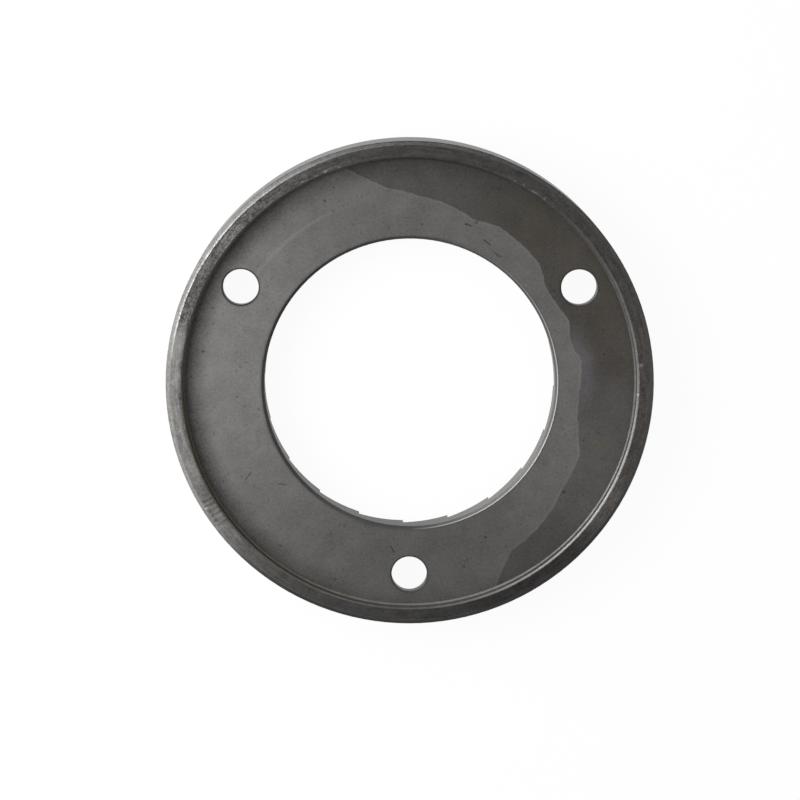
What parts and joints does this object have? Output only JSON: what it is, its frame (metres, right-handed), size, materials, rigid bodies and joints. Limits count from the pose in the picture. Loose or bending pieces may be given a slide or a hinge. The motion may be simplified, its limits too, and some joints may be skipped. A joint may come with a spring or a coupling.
{
  "type": "coffee grinder burr",
  "caption": "Flat ring burr of a coffee grinder: a steel ring with a recessed back, countersunk screw holes and milled teeth that crush and then grind the beans.",
  "frame": {"origin": "centre of the ring in the plane of the tooth tips, at the bottom of the bounding box", "axes": "+Z along the ring's axis from the teeth to the recessed back; +Y towards the top of the picture; one screw hole lies on -Y"},
  "size_m": [0.098, 0.098, 0.0118],
  "materials": {
    "steel": "dull ground and milled tool steel, dark grey, lightly stained"
  },
  "bodies": {
    "root": {"burr": "steel"}
  },
  "joints": []
}
